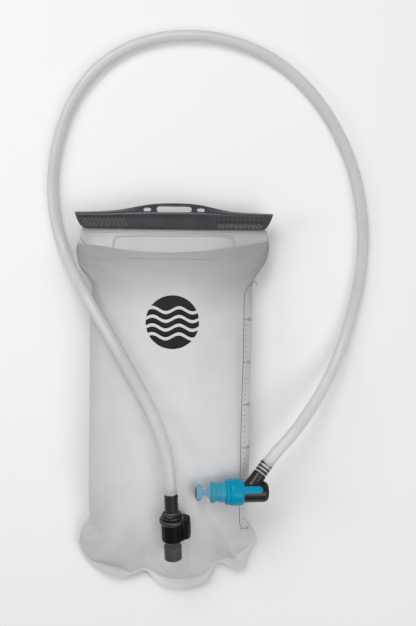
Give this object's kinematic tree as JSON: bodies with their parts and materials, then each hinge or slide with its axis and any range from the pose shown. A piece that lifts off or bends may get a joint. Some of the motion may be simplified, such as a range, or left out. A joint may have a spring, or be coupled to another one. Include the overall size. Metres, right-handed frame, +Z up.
{
  "type": "hydration bladder",
  "caption": "Flat water reservoir bag with a slide-on top closure, a plug-in drink tube at its foot and a lever shut-off bite valve on the tube's far end.",
  "frame": {"origin": "centre of the bounding box of the bladder without its drink tube, on the ground plane it lies on", "axes": "+X along the closure bar to the right, +Y from the foot weld to the hanging grip, +Z up out of the front film"},
  "size_m": [0.3093, 0.5336, 0.0753],
  "materials": {
    "film_matte": "frosted thermoplastic film, smooth and slightly translucent",
    "film_clear": "clear moulded thermoplastic, glossy",
    "tube_clear": "clear extruded hose",
    "slider_grey": "dark grey moulded nylon, satin",
    "black_plastic": "black moulded acetal, satin",
    "blue_plastic": "blue moulded plastic, semi-gloss",
    "silicone_clear": "clear silicone rubber",
    "rubber_black": "black nitrile rubber",
    "spring_steel": "stainless spring wire",
    "ink_black": "printed ink"
  },
  "bodies": {
    "reservoir": {"bag_front_panel": "film_matte", "bag_back_panel": "film_matte", "port_base": "film_clear", "closure_lip_front": "film_clear", "closure_lip_back": "film_clear", "receptacle_housing": "black_plastic", "port_seal_ring": "rubber_black", "latch_spring": "spring_steel", "check_valve_spring": "spring_steel"},
    "slide_bar": {"slide_seal_bar": "slider_grey"},
    "release_latch": {"latch_plate": "black_plastic", "thumb_button": "black_plastic"},
    "check_valve": {"check_valve_poppet": "black_plastic", "poppet_seal": "rubber_black"},
    "tube_assembly": {"tube_plug": "black_plastic", "plug_o_rings": "rubber_black", "drink_tube": "tube_clear", "valve_housing": "black_plastic", "valve_end_cap": "black_plastic", "end_cap_ring": "rubber_black"},
    "shutoff": {"shutoff_collar": "blue_plastic", "shutoff_rotor": "blue_plastic", "rotor_o_rings": "rubber_black", "mouthpiece_core": "blue_plastic", "mouthpiece_sheath": "silicone_clear"}
  },
  "joints": [
    {"name": "bar_slide", "type": "slide", "parent": "reservoir", "child": "slide_bar", "axis": [1, 0, 0], "range_m": [0, 0.19]},
    {"name": "tube_pull", "type": "slide", "parent": "reservoir", "child": "tube_assembly", "axis": [-0.0352, 0.9606, 0.2756], "range_m": [0, 0.028]},
    {"name": "valve_lift", "type": "slide", "parent": "reservoir", "child": "check_valve", "axis": [-0.0352, 0.9606, 0.2756], "range_m": [0, 0.0023], "deforming": ["check_valve_spring"]},
    {"name": "button_press", "type": "slide", "parent": "reservoir", "child": "release_latch", "axis": [-0.9993, -0.0366, 0], "range_m": [0, 0.0012], "stiffness_N_per_m": 900, "springref_m": -0.001, "deforming": ["latch_spring"]},
    {"name": "shutoff_turn", "type": "hinge", "parent": "tube_assembly", "child": "shutoff", "pos_m": [0.0221, -0.0824, 0.0605], "axis": [0.9871, 0, -0.1599], "range_deg": [0, 90]}
  ],
  "couplings": [
    {"joint": "valve_lift", "follows": "tube_pull", "ratio": 0.082143}
  ]
}
